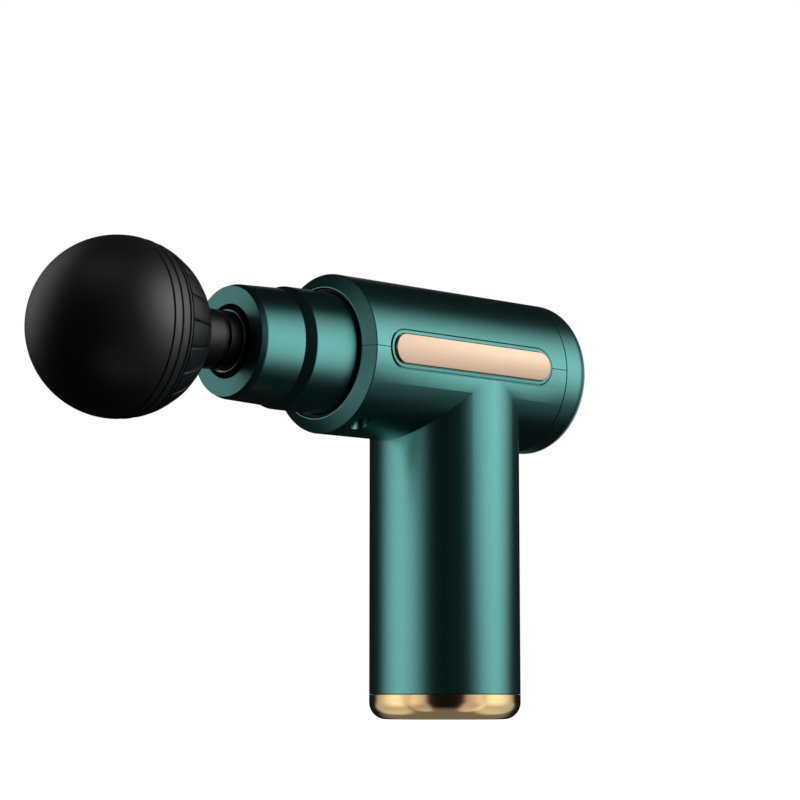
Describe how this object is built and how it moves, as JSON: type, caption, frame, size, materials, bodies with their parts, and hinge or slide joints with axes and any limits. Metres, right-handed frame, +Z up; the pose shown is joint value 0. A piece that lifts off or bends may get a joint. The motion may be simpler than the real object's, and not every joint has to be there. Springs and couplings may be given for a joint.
{
  "type": "massage gun",
  "caption": "Handheld T-shaped percussion massager: round handle, barrel with stepped nose, side trim plates and a removable ball head on a driven piston.",
  "frame": {"origin": "centre of the flat underside of the handle's base cap", "axes": "+Z up along the handle's axis, -X along the barrel towards the massage ball, +X towards the power button, +/-Y towards the two side plates"},
  "size_m": [0.2057, 0.0544, 0.1424],
  "materials": {
    "aluminium": "satin",
    "black_plastic": "satin",
    "black_rubber": "matte",
    "bronze": "satin",
    "cell_wrap": "satin",
    "circuit_board": "satin",
    "copper": "satin",
    "dark_steel": "satin",
    "gloss_black": "gloss",
    "gold_plate": "polished",
    "green_paint": "satin",
    "grey_rubber": "matte",
    "milky_lens": "satin",
    "steel": "satin"
  },
  "bodies": {
    "housing": {"base_cap": "gold_plate", "base_chassis": "black_plastic", "base_screw_1": "gold_plate", "base_screw_2": "gold_plate", "base_screw_3": "gold_plate", "battery_cell_1": "cell_wrap", "battery_cell_2": "cell_wrap", "battery_retainer": "black_plastic", "button_switch": "gloss_black", "charge_board": "circuit_board", "charge_port_frame": "black_plastic", "charge_socket": "steel", "control_board": "circuit_board", "control_panel": "gloss_black", "damper_front": "grey_rubber", "damper_rear": "grey_rubber", "guide_bush_front": "black_plastic", "guide_bush_rear": "black_plastic", "guide_tube": "black_plastic", "housing_screw_1": "dark_steel", "housing_screw_2": "dark_steel", "light_ring": "milky_lens", "lower_housing": "green_paint", "main_board": "circuit_board", "motor_driver": "gloss_black", "motor_mount": "aluminium", "nose_cap": "green_paint", "nose_sleeve": "green_paint", "rear_cap": "green_paint", "shaft_bearing_lower": "steel", "shaft_bearing_upper": "steel", "side_bezel_left": "green_paint", "side_bezel_right": "green_paint", "side_plate_left": "gold_plate", "side_plate_right": "gold_plate", "stator_core": "copper", "upper_housing": "green_paint", "wiper_seal": "black_rubber"},
    "rotor": {"rotor_bell": "dark_steel", "magnet_ring": "dark_steel", "motor_shaft": "steel", "crank_disc": "steel", "crank_pin": "steel"},
    "crank_roller": {"crank_roller": "bronze"},
    "piston": {"piston": "black_plastic", "piston_ring": "steel", "piston_rod": "aluminium", "yoke": "aluminium"},
    "massage_head": {"ball_cover": "black_rubber", "head_cup": "black_plastic", "head_stem": "black_plastic", "stem_screw": "dark_steel", "stem_o_ring_1": "black_rubber", "stem_o_ring_2": "black_rubber"},
    "power_button": {"power_button": "gloss_black"}
  },
  "joints": [
    {"name": "motor_spin", "type": "hinge", "parent": "housing", "child": "rotor", "pos_m": [0.004, 0, 0.1152], "axis": [0, 0, 1], "range_deg": [-90, 90]},
    {"name": "roller_spin", "type": "hinge", "parent": "rotor", "child": "crank_roller", "pos_m": [0.004, 0.0035, 0.1152], "axis": [0, 0, 1], "continuous": true},
    {"name": "piston_stroke", "type": "slide", "parent": "housing", "child": "piston", "axis": [-1, 0, 0], "range_m": [-0.00352, 0.00352]},
    {"name": "head_release", "type": "slide", "parent": "piston", "child": "massage_head", "axis": [-1, 0, 0], "range_m": [0, 0.03]},
    {"name": "button_press", "type": "slide", "parent": "housing", "child": "power_button", "axis": [-1, 0, 0], "range_m": [0, 0.0008], "stiffness_N_per_m": 800, "springref_m": -0.0005}
  ],
  "couplings": [
    {"joint": "piston_stroke", "follows": "motor_spin", "m_per_rad": 0.0022282}
  ]
}
